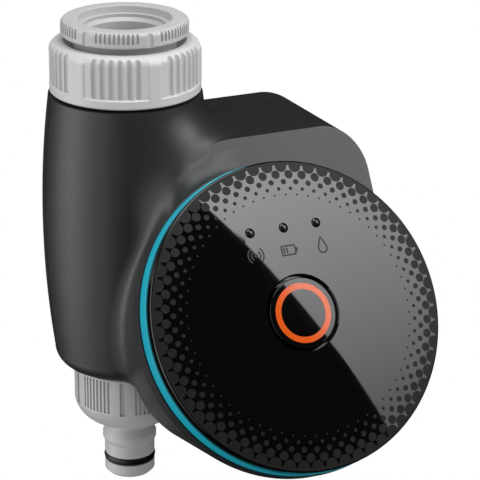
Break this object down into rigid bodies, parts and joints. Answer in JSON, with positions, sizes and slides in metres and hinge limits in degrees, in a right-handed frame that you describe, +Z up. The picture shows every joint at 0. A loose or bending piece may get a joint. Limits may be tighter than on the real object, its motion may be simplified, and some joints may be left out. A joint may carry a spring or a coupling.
{
  "type": "smart irrigation controller",
  "caption": "Battery water controller that hangs on a garden tap: union nut, motor ball valve, push-fit hose spigot and a tilted round control face with a button.",
  "frame": {"origin": "centre of the mouth of the tap adapter's threaded bore, 4.6 mm below the adapter's top ring", "axes": "+Z up along the pipe axis, out of the inlet; the control face looks towards -Y, tilted 30 degrees up; +X to the right of someone who looks at the face"},
  "size_m": [0.1076, 0.1177, 0.16],
  "materials": {
    "light_grey": "fine matt, light grey",
    "nut_grey": "satin, light grey",
    "anthracite": "satin, dark grey",
    "cyan": "satin gloss, cyan",
    "face_black": "high gloss, black, with rows of matt dots",
    "orange": "satin, orange",
    "connector_grey": "satin, mid grey",
    "black_rubber": "smooth",
    "clear_lens": "clear moulded plastic",
    "valve_plastic": "moulded, dark grey",
    "white_plastic": "low-friction moulded, white",
    "steel": "plain",
    "brass": "turned",
    "board_green": "solder resist, green",
    "chip_black": "moulded, black",
    "cell_wrap": "plain wrapper, grey"
  },
  "bodies": {
    "housing": {"tap_adapter": "light_grey", "tap_washer": "black_rubber", "nut_clip": "steel", "inlet_washer": "black_rubber", "inlet_filter": "white_plastic", "valve_body": "valve_plastic", "valve_tail": "valve_plastic", "upper_seat": "white_plastic", "lower_seat": "white_plastic", "stem_ring": "black_rubber", "motor": "steel", "gearbox_plate": "valve_plastic", "gearbox_cover": "valve_plastic", "gear_axles": "steel", "gearbox_screws": "steel", "valve_screws": "steel", "front_housing": "anthracite", "rear_housing": "anthracite", "housing_screws": "steel", "battery_tray": "valve_plastic", "tray_screws": "steel", "terminal_pins": "brass", "battery_1": "cell_wrap", "battery_2": "cell_wrap", "battery_3": "cell_wrap", "cell_springs": "steel", "cell_contacts": "steel"},
    "union_nut": {"union_nut": "nut_grey"},
    "outlet": {"outlet_connector": "connector_grey", "spigot_ring": "black_rubber", "connector_washer": "black_rubber"},
    "valve": {"valve_ball": "steel", "valve_stem": "brass", "output_gear": "white_plastic"},
    "low_wheel": {"low_wheel": "white_plastic"},
    "high_wheel": {"high_wheel": "white_plastic"},
    "motor_shaft": {"motor_pinion": "steel"},
    "control_unit": {"control_base": "valve_plastic", "contact_pads": "brass", "base_seal": "black_rubber", "trim_ring": "cyan", "face_cover": "face_black", "base_screws": "steel", "circuit_board": "board_green", "board_parts": "chip_black", "radio_module": "steel", "push_switch": "chip_black", "led_lenses": "clear_lens", "led_lamps": "white_plastic", "button_spring": "steel"},
    "button": {"button_cap": "face_black", "button_ring": "orange"}
  },
  "joints": [
    {"name": "union_nut_turn", "type": "hinge", "parent": "housing", "child": "union_nut", "pos_m": [0, 0, -0.0104], "axis": [0, 0, 1], "continuous": true},
    {"name": "outlet_turn", "type": "hinge", "parent": "housing", "child": "outlet", "pos_m": [0, 0, -0.1204], "axis": [0, 0, 1], "continuous": true},
    {"name": "valve_turn", "type": "hinge", "parent": "housing", "child": "valve", "pos_m": [0, 0, -0.0794], "axis": [1, 0, 0], "range_deg": [0, 90]},
    {"name": "low_wheel_turn", "type": "hinge", "parent": "housing", "child": "low_wheel", "pos_m": [0, -0.005, -0.06169], "axis": [1, 0, 0], "range_deg": [-324, 0]},
    {"name": "high_wheel_turn", "type": "hinge", "parent": "housing", "child": "high_wheel", "pos_m": [0, 0.003, -0.04784], "axis": [1, 0, 0], "range_deg": [0, 972]},
    {"name": "motor_turn", "type": "hinge", "parent": "housing", "child": "motor_shaft", "pos_m": [0, 0.0155, -0.05782], "axis": [1, 0, 0], "range_deg": [-2916, 0]},
    {"name": "control_unit_slide", "type": "slide", "parent": "housing", "child": "control_unit", "axis": [0, -0.866, 0.5], "range_m": [0, 0.015]},
    {"name": "button_press", "type": "slide", "parent": "control_unit", "child": "button", "axis": [0, 0.866, -0.5], "range_m": [0, 0.0008], "stiffness_N_per_m": 1500, "springref_m": -0.0006, "deforming": ["button_spring"]}
  ],
  "couplings": [
    {"joint": "low_wheel_turn", "follows": "valve_turn", "ratio": -3.6},
    {"joint": "high_wheel_turn", "follows": "valve_turn", "ratio": 10.8},
    {"joint": "motor_turn", "follows": "valve_turn", "ratio": -32.4}
  ]
}
